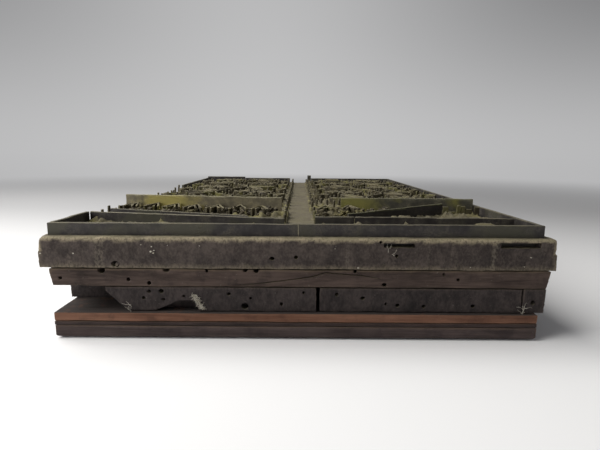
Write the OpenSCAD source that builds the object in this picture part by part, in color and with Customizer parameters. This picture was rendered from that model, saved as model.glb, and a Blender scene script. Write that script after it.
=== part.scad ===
// Hand printing plate: a built-up wooden block with a pattern of upright metal strips and pins let into its face.
// Two pattern panels lie side by side with a bare channel between them.
// Millimetres. X runs left to right, Y front to back and Z up, with the origin under the middle of the base.

/* [Face board] */
// Width of the face board, left to right
face_w = 270; // [262:1:330]
// Length of the face board, front to back
face_l = 400; // [330:1:480]
// Thickness of the face board
face_t = 17; // [12:0.5:24]
// Radius worn onto the upper edges of the face board
worn_r = 3; // [0.5:0.5:4.5]

/* [Middle layer] */
// Thickness of the boards that run left to right under the face board
middle_t = 9.7; // [6:0.1:14]
// Number of boards in the middle layer
middle_count = 3; // [3:1:3]
// Distance of the middle layer's ends from the face board's sides
middle_inset = 3.8; // [1:0.2:8]
// Amount by which the middle layer's ends lean in at the bottom
middle_lean = 1.8; // [0:0.2:4]
// Distance that the middle layer lies right of centre
middle_shift = 1.1; // [0:0.1:2]

/* [Core layer] */
// Thickness of the planks that run front to back in the core
core_t = 13.5; // [10:0.5:20]
// Width of the plank along the left side
core_left_w = 29; // [20:1:36]
// Width of the plank along the right side
core_right_w = 12; // [8:0.5:20]
// Place of the open joint between the two wide planks
core_joint_x = 10.6; // [-30:0.2:40]
// Width of that joint
core_joint_w = 1.4; // [0.4:0.1:3]
// Distance of the core from the face board's sides
core_inset = 4; // [2:0.5:10]
// Distance that the broken front of the left side plank lies back
broken_back = 20; // [0:1:40]

/* [Base] */
// Thickness of the base's top board
base_top_t = 4.9; // [3:0.1:8]
// Thickness of the dark ply between the base boards
base_ply_t = 2.2; // [1:0.1:4]
// Thickness of the base's bottom board
base_bottom_t = 7.2; // [5:0.1:12]
// Distance of the base's sides from the face board's sides
base_inset = 7.6; // [4:0.2:14]
// Distance that the base lies left of centre
base_shift = 0.8; // [0:0.1:2]
// Distance that the base stands out at the front and at the back
base_lip = 2.3; // [0:0.1:6]
// Radius worn onto the lower edges of the base
base_worn_r = 2.8; // [0.5:0.1:5]

/* [Strips and pins] */
// Thickness of the straight rules round the panels
rule_t = 2; // [1:0.1:3]
// Thickness of the bent pattern strips
strip_t = 1.3; // [0.8:0.1:1.8]
// Height of the printing edge above the wood
rise = 6.4; // [4:0.2:9]
// Depth to which strips and pins are let into the wood
seat = 4.6; // [3:0.2:7]
// Clearance on each side of a strip in its groove
seat_gap = 0.05; // [0.02:0.01:0.1]
// Distance from the board's edge to the outer face of the rules
rule_margin = 4.7; // [3:0.1:10]
// Distance that the whole pattern lies left of centre
pattern_shift = 1; // [0:0.1:1.5]
// Width of the bare channel between the panels
channel_w = 16; // [10:0.5:30]
// Diameter of the fine pins
pin_d = 2; // [1.2:0.1:2.6]

/* [Pattern] */
// Length of one bay of the vine, front to back
bay_l = 55; // [52:1:70]
// Distance that the vine swings to each side
vine_swing = 11; // [8:0.5:12]
// Radius of a rosette over its outer dots
rosette_r = 20; // [17:0.5:22]
// Number of petals on a rosette
petals = 8; // [5:1:9]
// Radius of the ring round a rosette's boss
ring_r = 5; // [4:0.5:6]
// Length of a leaf
leaf_l = 27; // [22:0.5:30]
// Width of a leaf
leaf_w = 9.5; // [7:0.5:11]
// Radius of the scrolls between the rosettes
scroll_r = 6.5; // [5:0.5:8]
// Distance between the background dots
dot_pitch = 9; // [8:0.5:14]
// Distance between the chevrons of the front band
chevron_pitch = 15.5; // [13:0.5:20]
// Depth of the front band, front to back
chevron_d = 19; // [14:0.5:21]

/* [Displaced strips] */
// Distance from the frame to the front face of each second rule's nearer end
second_rule_d = 18.8; // [14:0.2:24]
// Distance that the left second rule runs back towards the side
second_skew = 21.5; // [0:0.5:24]
// Distance from the frame to the front band's rear edge
band_d = 87; // [84:1:100]
// Distance that the left crossbar is drawn up out of its groove
left_lift = 5.2; // [0:0.2:7]
// Distance that the right crossbar is drawn up out of its groove
right_lift = 4.5; // [0:0.2:7]
// Height of the bar that the crossbars are cut from
bar_h = 16; // [14:0.5:20]
// Distance that the loose strip's far end is lifted
loose_lift = 2.2; // [0:0.1:2.8]
// Distance that the back rule's left end is lifted
back_lift = 1.7; // [0:0.1:2.5]
// Distance that the short piece at the channel's far end is lifted
corner_lift = 4.2; // [0:0.1:4.3]
// Length of rule that is left at the front of the left side
left_front_l = 38; // [20:1:45]
// Length of rule that is left at the back of the left side
left_back_l = 136; // [80:1:150]

/* [Hidden] */
// Heights of the layers, from the base up
base_h = base_bottom_t + base_ply_t + base_top_t;
middle_z = base_h + core_t;
face_z = middle_z + middle_t;
top_z = face_z + face_t;
strip_h = rise + seat;
bar_seat = bar_h - rise;

// Board edges in plan
face_x = face_w / 2;
face_y = face_l / 2;
base_y = face_y + base_lip;
core_x = face_x - core_inset;

// The frame of rules, to its outer faces, and the clear edges of the two panels
frame_x0 = -face_x + rule_margin - pattern_shift;
frame_x1 = face_x - rule_margin - pattern_shift;
frame_y0 = -face_y + rule_margin;
frame_y1 = face_y - rule_margin;
side_x0 = frame_x0 + rule_t / 2;
side_x1 = frame_x1 - rule_t / 2;
front_y = frame_y0 + rule_t / 2;
back_y = frame_y1 - rule_t / 2;
butt = 0.4;
channel_x = 1;
left_in = frame_x0 + rule_t;
left_out = channel_x - channel_w / 2;
right_in = channel_x + channel_w / 2;
right_out = frame_x1 - rule_t;

// Middle of each panel, and the bays of the vine between the crossbars and the back rules
left_x = (left_in + left_out) / 2;
right_x = (right_in + right_out) / 2;
panel_w = min(left_out - left_in, right_out - right_in);
edge_pin_in = 1.5;
band_y = frame_y0 + band_d;
field_y0 = band_y + 14;
field_y1 = frame_y1 - 8;
bays = floor((field_y1 - field_y0) / bay_l);
vine_y0 = (field_y0 + field_y1 - bays * bay_l) / 2;
field_gap = 2.4;

// Places of the second rules, the third rule and the loose strip
second_y = frame_y0 + second_rule_d + rule_t / 2;
loose_run = [70, 37];
loose_start = [right_in + 22, second_y + 20];
post_y = band_y - 10;

$fn = 32;

// Plan geometry of bent strips: a path is a list of points along the middle of the strip
function unit(v) = v / norm(v);
function left_of(v) = [-v[1], v[0]];
function mitre(a, b) = let (m = unit(left_of(a) + left_of(b))) m / (m * left_of(a));
function step(p, i) = unit(p[i + 1] - p[i]);
function side_step(p, i) =
    let (last = len(p) - 1)
    mitre(step(p, max(i - 1, 0)), step(p, min(i, last - 1)));
function one_side(p, d) = [for (i = [0 : len(p) - 1]) p[i] + d * side_step(p, i)];
function reversed(p) = [for (i = [len(p) - 1 : -1 : 0]) p[i]];
function closed_step(p, i) = unit(p[(i + 1) % len(p)] - p[i % len(p)]);
function closed_side(p, d) =
    [for (i = [0 : len(p) - 1]) p[i] + d * mitre(closed_step(p, i + len(p) - 1), closed_step(p, i))];
function arc(c, r, a0, a1, n) = [for (i = [0 : n]) c + r * [cos(a0 + (a1 - a0) * i / n), sin(a0 + (a1 - a0) * i / n)]];
function turned(p, a) = [for (q = p) [q[0] * cos(a) - q[1] * sin(a), q[0] * sin(a) + q[1] * cos(a)]];
function moved(p, v) = [for (q = p) q + v];

// Radius of the arc that spans a chord with a given rise
function arc_radius(chord, height) = (chord * chord / 4 + height * height) / (2 * height);

// Outline of a pointed leaf that starts at the origin and runs along X
function leaf_path(l, w, n) =
    let (r = arc_radius(l, w / 2), a = asin(l / 2 / r))
    concat(
        arc([l / 2, r - w / 2], r, 270 - a, 270 + a, n),
        [for (q = arc([l / 2, w / 2 - r], r, 90 - a, 90 + a, n)) if (q[0] > 0.001 && q[0] < l - 0.001) q]
    );

// One swing of the vine after another, from the front of the field to the back
function vine_side(i) = i % 2 == 0 ? 1 : -1;
function bay_y(i) = vine_y0 + (i + 0.5) * bay_l;
function vine_bay(i, n) =
    let (r = arc_radius(bay_l, vine_swing), a = asin(bay_l / 2 / r))
    [for (q = arc([vine_swing - r, 0], r, -a, a, n)) [vine_side(i) * q[0], q[1] + bay_y(i)]];
function vine_path(n) =
    concat([for (i = [0 : bays - 1]) for (q = [for (k = [0 : n - 1]) vine_bay(i, n)[k]]) q], [vine_bay(bays - 1, n)[n]]);

// Places in a panel, measured from the panel's middle
rosette_x = rosette_r + 4.5;
function rosette_at(i) = [-vine_side(i) * rosette_x, bay_y(i)];
leaf_turns = [-52, 0, 52];
leaf_spread = 7;
leaf_clear = 2.9;
function vine_x(dy) = let (r = arc_radius(bay_l, vine_swing)) sqrt(r * r - dy * dy) - r + vine_swing;
function leaf_root(i, turn) =
    let (dy = leaf_spread * sign(turn))
    [vine_side(i) * (vine_x(dy) + leaf_clear), bay_y(i) + dy];
function leaf_angle(i, turn) = vine_side(i) > 0 ? turn : 180 - turn;
scroll_x = panel_w / 2 - scroll_r - 4.5;
function scroll_at(i, s) = [s * scroll_x, vine_y0 + i * bay_l];
function scroll_path() =
    concat(arc([0, 0], scroll_r, 200, -20, 10), arc([scroll_r / 4, 0], scroll_r * 0.75, -35, -160, 5));

// Distance from a point to a line between two points
function line_distance(p, a, b) =
    let (t = max(0, min(1, (p - a) * (b - a) / ((b - a) * (b - a)))))
    norm(p - a - t * (b - a));
function clear_of_vine(p, i) =
    let (r = arc_radius(bay_l, vine_swing), q = [vine_side(i) * p[0], p[1] - bay_y(i)])
    abs(norm(q - [vine_swing - r, 0]) - r) > strip_t / 2 + field_gap;
function clear_of_leaf(p, i, turn) =
    let (a = leaf_angle(i, turn), root = leaf_root(i, turn))
    line_distance(p, root, root + leaf_l * [cos(a), sin(a)]) > leaf_w / 2 + field_gap;
function clear_in_bay(p, i) =
    norm(p - rosette_at(i)) > rosette_r + field_gap
    && clear_of_leaf(p, i, leaf_turns[0])
    && clear_of_leaf(p, i, leaf_turns[1])
    && clear_of_leaf(p, i, leaf_turns[2]);
function clear_of_scrolls(p, i) =
    norm(p - scroll_at(i, 1)) > scroll_r + field_gap
    && norm(p - scroll_at(i, -1)) > scroll_r + field_gap;
function bay_of(p) = max(0, min(bays - 1, floor((p[1] - vine_y0) / bay_l)));
function dot_is_clear(p) =
    let (i = bay_of(p))
    clear_of_vine(p, i)
    && clear_in_bay(p, i)
    && clear_in_bay(p, max(i - 1, 0))
    && clear_in_bay(p, min(i + 1, bays - 1))
    && clear_of_scrolls(p, i)
    && clear_of_scrolls(p, i + 1);
dot_edge = panel_w / 2 - edge_pin_in - pin_d - 1.5;
dot_columns = floor(dot_edge / dot_pitch);
dot_rows = floor((field_y1 - field_y0) / dot_pitch);
dots = [
    for (row = [0 : dot_rows])
    for (column = [-dot_columns : dot_columns])
        let (p = [(column + (row % 2 == 0 ? 0 : 0.5)) * dot_pitch, field_y0 + row * dot_pitch])
        if (abs(p[0]) < dot_edge && dot_is_clear(p)) p
];

// A strip on edge along an open path, and a strip bent round a closed one
module strip(path, t, grow = 0) {
    d = t / 2 + grow;
    polygon(concat(one_side(path, -d), reversed(one_side(path, d))));
}

module closed_strip(path, t, grow = 0) {
    d = t / 2 + grow;
    difference() {
        polygon(closed_side(path, -d));
        polygon(closed_side(path, d));
    }
}

// Stands a plan shape up in the wood, from the bottom of its seat to the printing edge
module let_in(lift = 0, h = strip_h) {
    translate([0, 0, top_z + rise + lift - h])
        linear_extrude(h)
            children();
}

module cut_in(depth = seat) {
    translate([0, 0, top_z - depth])
        linear_extrude(depth + 1)
            children();
}

module metal() {
    color([0.40, 0.38, 0.30])
        children();
}

module brassy() {
    color([0.58, 0.54, 0.30])
        children();
}

// Base: two boards with a dark ply between them
module base_sheet(z, h) {
    translate([-face_x + base_inset - base_shift, -base_y, z])
        cube([face_w - 2 * base_inset, 2 * base_y, h]);
}

function worn_section(w, h, r, n = 5) =
    concat(
        [[-w / 2, 0], [w / 2, 0]],
        arc([w / 2 - r, h - r], r, 0, 90, n),
        arc([r - w / 2, h - r], r, 90, 180, n)
    );

module worn_block(w, l, h, r) {
    intersection() {
        translate([0, l / 2, 0])
            rotate([90, 0, 0])
                linear_extrude(l)
                    polygon(worn_section(w, h, r));
        translate([-w / 2, 0, 0])
            rotate([90, 0, 90])
                linear_extrude(w)
                    polygon(worn_section(l, h, r));
    }
}

module base_bottom_board() {
    color([0.28, 0.19, 0.14])
        translate([-base_shift, 0, base_bottom_t])
            mirror([0, 0, 1])
                worn_block(face_w - 2 * base_inset, 2 * base_y, base_bottom_t, base_worn_r);
}

module base_dark_ply() {
    color([0.13, 0.09, 0.08])
        base_sheet(base_bottom_t, base_ply_t);
}

module base_top_board() {
    color([0.52, 0.25, 0.13])
        base_sheet(base_bottom_t + base_ply_t, base_top_t);
}

// Core: planks that run front to back, with a broken corner at the front left
module core_plank(x0, x1, front = 0) {
    translate([x0, -face_y + front, base_h])
        cube([x1 - x0, face_l - front, core_t]);
}

// The left plank's lower front corner is split off in a slant, and its lower edge is eaten away
corner_chip = [12, 11.5];
eaten = [23, 16, 6];
core_gap = 0.3;

module core_plank_far_left() {
    color([0.24, 0.16, 0.14])
        core_plank(-core_x, -core_x + core_left_w, broken_back);
}

module core_plank_left() {
    x0 = -core_x + core_left_w + core_gap;
    color([0.27, 0.21, 0.17])
        difference() {
            core_plank(x0, core_joint_x - core_joint_w / 2);
            translate([x0, -face_y + broken_back - 4, base_h])
                rotate([90, 0, 0])
                    linear_extrude(broken_back)
                        polygon([[-1, -1], [corner_chip[0] + 1, -1], [-1, corner_chip[1] + 1]]);
            translate([x0 + eaten[0], -face_y + 5, base_h])
                rotate([90, 0, 0])
                    linear_extrude(10)
                        polygon([[0, -1], [eaten[1], eaten[2]], [eaten[1] + 8, eaten[2]], [eaten[1] + 11, -1]]);
        }
}

module core_plank_right() {
    color([0.27, 0.21, 0.17])
        core_plank(core_joint_x + core_joint_w / 2, core_x - core_right_w - core_gap);
}

module core_plank_far_right() {
    color([0.29, 0.23, 0.18])
        core_plank(core_x - core_right_w, core_x);
}

// Middle layer: boards that run left to right, with ends that lean in
module middle_board(i) {
    w = face_w - 2 * middle_inset;
    l = face_l / middle_count;
    gap = i < middle_count - 1 ? 0.2 : 0;
    color([0.30, 0.22, 0.16])
        translate([middle_shift, -face_y + (i + 1) * l - gap, middle_z])
            rotate([90, 0, 0])
                linear_extrude(l - gap)
                    polygon([
                        [-w / 2 + middle_lean, 0], [w / 2 - middle_lean, 0],
                        [w / 2, middle_t], [-w / 2, middle_t]
                    ]);
}

// Face board: worn edges, two slots in its front edge, and a groove or hole for every strip and pin
edge_slots = [[44.3, 16.2, 2.6, 2.3], [104.7, 21.1, 2, 2.8]];
edge_slot_d = 9;

module face_board() {
    color([0.33, 0.28, 0.22])
        difference() {
            translate([0, 0, face_z])
                worn_block(face_w, face_l, face_t, worn_r);
            for (s = edge_slots)
                translate([s[0] * face_x / 135, -face_y - 1, top_z - s[2] - s[3]])
                    cube([s[1], edge_slot_d + 1, s[3]]);
            cut_in() {
                frame_plan(seat_gap);
                second_rules_plan(seat_gap);
                chevrons_plan(left_chevron_places, seat_gap);
                chevrons_plan(right_chevron_places, seat_gap);
                posts_plan(seat_gap);
                channel_pins_plan(left_out - edge_pin_in, seat_gap);
                channel_pins_plan(right_in + edge_pin_in, seat_gap);
                in_left_panel()
                    panel_plan(seat_gap);
                in_right_panel()
                    panel_plan(seat_gap);
            }
            cut_in(bar_seat) {
                strip(left_bar, rule_t, seat_gap);
                strip(right_bar, rule_t, seat_gap);
            }
        }
}

// Frame: rules that butt end to end in one groove round the block
seam_x = 0;
back_seam_x = left_in + 52;
right_gap_y = frame_y1 - 68;
left_rest_y = frame_y1 - rule_t - left_back_l;
corner_w = 5;
front_groove = [[frame_x0, front_y], [frame_x1, front_y]];
back_groove = [[frame_x0, back_y], [frame_x1, back_y]];
left_groove = [[side_x0, frame_y0 + rule_t + butt], [side_x0, frame_y1 - rule_t - butt]];
right_groove = [[side_x1, frame_y0 + rule_t + butt], [side_x1, frame_y1 - rule_t - butt]];

module frame_plan(grow) {
    strip(front_groove, rule_t, grow);
    strip(back_groove, rule_t, grow);
    strip(left_groove, rule_t, grow);
    strip(right_groove, rule_t, grow);
}

module rule(a, b, lift = 0) {
    metal()
        let_in(lift)
            strip([a, b], rule_t);
}

module front_rule_left() rule(front_groove[0], [seam_x - butt / 2, front_y]);
module front_rule_right() rule([seam_x + butt / 2, front_y], front_groove[1]);
module left_rule_front() rule(left_groove[0], left_groove[0] + [0, left_front_l]);
module left_rule_back() rule([side_x0, left_rest_y], left_groove[1]);
module right_rule_front() rule(right_groove[0], [side_x1, right_gap_y - 1]);
module right_rule_back() rule([side_x1, right_gap_y + 1], right_groove[1]);
module back_rule_left_end() rule(back_groove[0], [back_seam_x - butt / 2, back_y], min(back_lift, seat - 0.4));
module back_rule_left() rule([back_seam_x + butt / 2, back_y], [left_out - 6, back_y]);
module back_rule_right() rule([right_in + 3 + corner_w + butt, back_y], back_groove[1]);

module raised_corner_post() {
    rule([right_in + 3, back_y], [right_in + 3 + corner_w, back_y], min(corner_lift, seat - 0.4));
}

// Second and third rules, which run across the panels just behind the front rules
second_rise = 7.5;
left_second = [[left_in + 0.6, second_y + second_skew], [left_out - 1, second_y]];
left_third = [[left_in + 6.5, second_y + second_skew + 15], [left_out - 23, second_y + 10]];
right_second = [[right_in + 0.8, second_y + second_rise], [right_out - 2, second_y + second_rise - 2.5]];
stub_share = 0.2;
stub_end = right_second[0] + stub_share * (right_second[1] - right_second[0]);

module second_rules_plan(grow) {
    strip(left_second, rule_t, grow);
    strip(left_third, strip_t, grow);
    strip(right_second, rule_t, grow);
    strip(loose_groove, strip_t, grow);
}

module left_second_rule() rule(left_second[0], left_second[1]);
module right_second_rule_stub() rule(right_second[0], stub_end - [butt / 2, 0]);
module right_second_rule() rule(stub_end + [butt / 2, 0], right_second[1]);

module left_third_rule() {
    metal()
        let_in()
            strip(left_third, strip_t);
}

// The loose strip: still in its groove at the near end and drawn up at the far end
loose_end = loose_start + loose_run;
loose_l = norm(loose_run);
loose_turn = atan2(loose_run[1], loose_run[0]);
loose_way = loose_run / loose_l;
run_out = 0.6;
loose_groove = [loose_start - run_out * loose_way, loose_end + run_out * loose_way];

module loose_strip() {
    metal()
        translate([loose_start[0], loose_start[1], top_z - seat])
            rotate([0, 0, loose_turn])
                rotate([0, -asin(loose_lift / loose_l), 0])
                    translate([0, -strip_t / 2, 0])
                        cube([loose_l, strip_t, strip_h]);
}

// Crossbars: deep rules that have been drawn part of the way up out of their grooves
left_bar = [[left_in + 0.6, band_y + 8.3], [left_out - 5, band_y - 6.5]];
right_bar = [[right_in + 22, band_y + 1], [right_out - 0.5, band_y + 0.5]];

module bar(path, lift) {
    brassy()
        let_in(lift, bar_h)
            strip(path, rule_t);
}

module left_crossbar() bar(left_bar, left_lift);
module right_crossbar() bar(right_bar, right_lift);

// Chevrons: strips bent to a point, in a row in front of each crossbar, with a pin under each
function bar_y(bar, x) = bar[0][1] + (x - bar[0][0]) * (bar[1][1] - bar[0][1]) / (bar[1][0] - bar[0][0]);
function chevron_row(x0, count, bar) =
    [for (i = [0 : count - 1]) let (x = x0 + (i + 0.5) * chevron_pitch) [x, bar_y(bar, x) - 3.5]];
left_chevron_count = floor((panel_w - 4) / chevron_pitch);
left_chevron_places = chevron_row(left_in + 3, left_chevron_count, left_bar);
right_chevron_places = chevron_row(right_in + 3, 2, right_bar);
chevron_w = chevron_pitch - 3.5;
inner_share = 0.5;
function chevron_path(p, share) =
    let (w = share * chevron_w / 2, d = share * chevron_d)
    [p + [-w, -chevron_d], p + [0, d - chevron_d], p + [w, -chevron_d]];

module chevrons_plan(places, grow) {
    for (p = places) {
        strip(chevron_path(p, 1), strip_t, grow);
        strip(chevron_path(p, inner_share), strip_t, grow);
    }
}

module chevrons(places) {
    brassy()
        let_in()
            chevrons_plan(places, 0);
}

module left_chevrons() chevrons(left_chevron_places);
module right_chevrons() chevrons(right_chevron_places);

// Flat posts in the right panel: place from the side rule, width and height above the wood
front_posts = [[25.2, 3.6, 6.4], [19.2, 2.6, 2.8], [15.5, 2.2, 7.2], [12.6, 2.8, 6.8], [9.4, 4.4, 4.8], [3.2, 3, 6.3]];
post_t = 1.6;

module post_plan(p, grow) {
    x = right_out - p[0];
    strip([[x, post_y], [x + p[1], post_y]], post_t, grow);
}

module posts_plan(grow) {
    for (p = front_posts)
        post_plan(p, grow);
}

module right_front_posts() {
    metal()
        for (p = front_posts)
            let_in(p[2] - rise, p[2] + seat)
                post_plan(p, 0);
}

// Fine pins that stand in the left side's empty groove: place from a rule's end and height above the wood
near_pins = [[19, 5.6], [29, 6.7], [39, 4]];
far_pins = [[17, 8.3], [28, 6], [40, 4], [54, 3], [81, 5.9]];

module side_groove_pin(y, h) {
    translate([side_x0, y, top_z - seat])
        cylinder(d = pin_d, h = h + seat);
}

module side_groove_pins() {
    metal() {
        for (p = near_pins)
            side_groove_pin(frame_y0 + rule_t + left_front_l + p[0], p[1]);
        for (p = far_pins)
            side_groove_pin(left_rest_y - p[0], p[1]);
    }
}

// Pins along both edges of the channel
channel_pitch = 18;
channel_y0 = second_y + second_rise + 9;
channel_count = floor((back_y - 8 - channel_y0) / channel_pitch);

module channel_pins_plan(x, grow) {
    for (i = [0 : channel_count])
        if (abs(channel_y0 + i * channel_pitch - band_y) > 12)
            translate([x, channel_y0 + i * channel_pitch])
                circle(d = pin_d + 2 * grow);
}

module left_channel_pins() {
    metal()
        let_in()
            channel_pins_plan(left_out - edge_pin_in, 0);
}

module right_channel_pins() {
    metal()
        let_in()
            channel_pins_plan(right_in + edge_pin_in, 0);
}

// Panel pattern: a vine that swings from side to side, with rosettes, leaves, scrolls and dots
module in_left_panel() {
    translate([left_x, 0])
        children();
}

module in_right_panel() {
    translate([right_x, 0])
        mirror([1, 0])
            children();
}

module vine_plan(grow) {
    strip(vine_path(9), strip_t, grow);
}

module leaf_places() {
    for (i = [0 : bays - 1])
        for (turn = leaf_turns)
            translate(leaf_root(i, turn))
                rotate(leaf_angle(i, turn))
                    children();
}

module leaves_plan(grow) {
    leaf_places()
        closed_strip(leaf_path(leaf_l, leaf_w, 5), strip_t, grow);
}

module veins_plan(grow) {
    leaf_places()
        strip([[leaf_l * 0.28, 0], [leaf_l * 0.76, 0]], strip_t, grow);
}

module bosses_plan(grow) {
    for (i = [0 : bays - 1])
        translate(rosette_at(i))
            circle(d = boss_d + 2 * grow);
}

module rings_plan(grow) {
    for (i = [0 : bays - 1])
        translate(rosette_at(i))
            difference() {
                circle(r = ring_r + grow);
                circle(r = ring_r - strip_t - grow);
            }
}

module petals_plan(grow) {
    for (i = [0 : bays - 1])
        translate(rosette_at(i))
            for (k = [0 : petals - 1])
                rotate(k * 360 / petals)
                    translate([ring_r + 1.6, 0])
                        closed_strip(leaf_path(petal_l, petal_w, 3), strip_t, grow);
}

module rosette_dots_plan(grow) {
    for (i = [0 : bays - 1])
        translate(rosette_at(i))
            for (k = [0 : petals - 1])
                rotate((k + 0.5) * 360 / petals)
                    translate([rosette_r - pin_d / 2, 0])
                        circle(d = pin_d + 2 * grow);
}

module scrolls_plan(grow) {
    for (i = [1 : bays - 1])
        for (s = [-1, 1])
            translate(scroll_at(i, s))
                mirror([s > 0 ? 0 : 1, 0])
                    strip(scroll_path(), strip_t, grow);
}

module background_dots_plan(grow) {
    for (p = dots)
        translate(p)
            circle(d = pin_d + 2 * grow);
}

module panel_plan(grow) {
    vine_plan(grow);
    leaves_plan(grow);
    veins_plan(grow);
    bosses_plan(grow);
    rings_plan(grow);
    petals_plan(grow);
    rosette_dots_plan(grow);
    scrolls_plan(grow);
    background_dots_plan(grow);
}

boss_d = 3.6;
petal_l = rosette_r - ring_r - 4;
petal_w = 5.4;

module left_vine() brassy() let_in() in_left_panel() vine_plan(0);
module left_leaves() brassy() let_in() in_left_panel() leaves_plan(0);
module left_leaf_veins() metal() let_in() in_left_panel() veins_plan(0);
module left_rosette_bosses() metal() let_in() in_left_panel() bosses_plan(0);
module left_rosette_rings() brassy() let_in() in_left_panel() rings_plan(0);
module left_rosette_petals() brassy() let_in() in_left_panel() petals_plan(0);
module left_rosette_dots() metal() let_in() in_left_panel() rosette_dots_plan(0);
module left_scrolls() brassy() let_in() in_left_panel() scrolls_plan(0);
module left_background_dots() metal() let_in() in_left_panel() background_dots_plan(0);
module right_vine() brassy() let_in() in_right_panel() vine_plan(0);
module right_leaves() brassy() let_in() in_right_panel() leaves_plan(0);
module right_leaf_veins() metal() let_in() in_right_panel() veins_plan(0);
module right_rosette_bosses() metal() let_in() in_right_panel() bosses_plan(0);
module right_rosette_rings() brassy() let_in() in_right_panel() rings_plan(0);
module right_rosette_petals() brassy() let_in() in_right_panel() petals_plan(0);
module right_rosette_dots() metal() let_in() in_right_panel() rosette_dots_plan(0);
module right_scrolls() brassy() let_in() in_right_panel() scrolls_plan(0);
module right_background_dots() metal() let_in() in_right_panel() background_dots_plan(0);

base_bottom_board();
base_dark_ply();
base_top_board();
core_plank_far_left();
core_plank_left();
core_plank_right();
core_plank_far_right();
middle_board(0);  // middle_board_front
middle_board(1);  // middle_board_centre
middle_board(2);  // middle_board_back
face_board();
front_rule_left();
front_rule_right();
left_rule_front();
left_rule_back();
right_rule_front();
right_rule_back();
back_rule_left_end();
back_rule_left();
back_rule_right();
left_second_rule();
left_third_rule();
right_second_rule();
right_second_rule_stub();
left_crossbar();
right_crossbar();
loose_strip();
raised_corner_post();
left_chevrons();
right_chevrons();
side_groove_pins();
right_front_posts();
left_channel_pins();
right_channel_pins();
left_vine();
left_leaves();
left_leaf_veins();
left_rosette_bosses();
left_rosette_rings();
left_rosette_petals();
left_rosette_dots();
left_scrolls();
left_background_dots();
right_vine();
right_leaves();
right_leaf_veins();
right_rosette_bosses();
right_rosette_rings();
right_rosette_petals();
right_rosette_dots();
right_scrolls();
right_background_dots();
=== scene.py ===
import math
import random

import bmesh
import bpy
import numpy as np
from mathutils import Matrix, Vector, kdtree, noise


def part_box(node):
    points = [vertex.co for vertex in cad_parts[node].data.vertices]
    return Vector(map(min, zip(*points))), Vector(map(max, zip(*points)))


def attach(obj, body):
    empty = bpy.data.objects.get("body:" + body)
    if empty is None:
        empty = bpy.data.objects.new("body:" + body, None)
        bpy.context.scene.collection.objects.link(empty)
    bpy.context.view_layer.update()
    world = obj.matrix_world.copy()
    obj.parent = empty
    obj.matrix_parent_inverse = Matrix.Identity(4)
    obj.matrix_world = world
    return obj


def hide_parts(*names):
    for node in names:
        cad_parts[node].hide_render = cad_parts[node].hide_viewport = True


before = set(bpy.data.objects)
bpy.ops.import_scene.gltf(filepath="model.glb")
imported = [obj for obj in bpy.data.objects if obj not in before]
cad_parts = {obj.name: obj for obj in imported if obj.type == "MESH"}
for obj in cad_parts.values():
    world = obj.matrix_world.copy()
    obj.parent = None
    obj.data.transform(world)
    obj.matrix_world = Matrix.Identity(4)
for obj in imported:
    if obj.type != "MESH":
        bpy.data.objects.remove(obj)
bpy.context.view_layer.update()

MM = 0.001
# Without a seed, noise_vector takes its offsets from the clock, and the strips bend anew in each run
noise.seed_set(1)

# The base
# Three plies under the whole block: a brown board, a thin near-black ply and an orange-brown board.
# They are softwood, glued face to face, with their arrises worn round by use on the bench.

X, Y, Z = 0, 1, 2
SAME_POINT = 1e-6
PLY_GRID = 1.1 * MM
PLY_HOLLOW = 0.35 * MM
SEED_SHIFTS = (7.31, 3.17, 5.73)


def linked(name, data):
    """A new object with this data, in the scene."""
    piece = bpy.data.objects.new(name, data)
    bpy.context.scene.collection.objects.link(piece)
    return piece


def new_piece(name, points, faces):
    """A mesh object from points and faces."""
    mesh = bpy.data.meshes.new(name)
    mesh.from_pydata([tuple(p) for p in points], [], [tuple(f) for f in faces])
    mesh.validate()
    return linked(name, mesh)


def piece_from(name, bm):
    """A mesh object from a bmesh, which is used up."""
    mesh = bpy.data.meshes.new(name)
    bm.to_mesh(mesh)
    bm.free()
    return linked(name, mesh)


def packed_mesh(node):
    """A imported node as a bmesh, with its split corners joined."""
    bm = bmesh.new()
    bm.from_mesh(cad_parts[node].data)
    bmesh.ops.remove_doubles(bm, verts=bm.verts, dist=SAME_POINT)
    return bm


def points_of(piece):
    """The points of a mesh object as an array."""
    flat = np.zeros(len(piece.data.vertices) * 3, np.float32)
    piece.data.vertices.foreach_get("co", flat)
    return flat.reshape(-1, 3).astype(float)


def spaced(lo, hi, step, fine_ends, coarse):
    """Places along one side of a board, close together near the ends and wider apart between."""
    edge = min(fine_ends, (hi - lo) / 2)
    near = np.linspace(lo, lo + edge, max(2, round(edge / step)) + 1)
    far = np.linspace(hi - edge, hi, max(2, round(edge / step)) + 1)
    between = np.linspace(lo + edge, hi - edge, max(1, round((hi - lo - 2 * edge) / coarse)) + 1)
    return np.unique(np.round(np.concatenate([near, between, far]), 7))


def board_skin(xs, ys, zs):
    """The outer skin of a board as a grid of quads: points, faces."""
    shape = (len(xs), len(ys), len(zs))
    number = -np.ones(shape, int)
    grid = np.stack(np.meshgrid(xs, ys, zs, indexing="ij"), -1)
    skin = np.zeros(shape, bool)
    skin[[0, -1]] = skin[:, [0, -1]] = skin[:, :, [0, -1]] = True
    number[skin] = np.arange(skin.sum())
    faces = []
    for axis in (X, Y, Z):
        for end, turn in ((0, 1), (-1, 0)):
            sheet = np.take(number, end, axis)
            turn ^= axis == Y
            quad = [sheet[:-1, :-1], sheet[1:, :-1], sheet[1:, 1:], sheet[:-1, 1:]]
            quad = np.stack(quad[::-1] if turn else quad, -1).reshape(-1, 4)
            faces.append(quad)
    return grid[skin], np.concatenate(faces)


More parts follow.
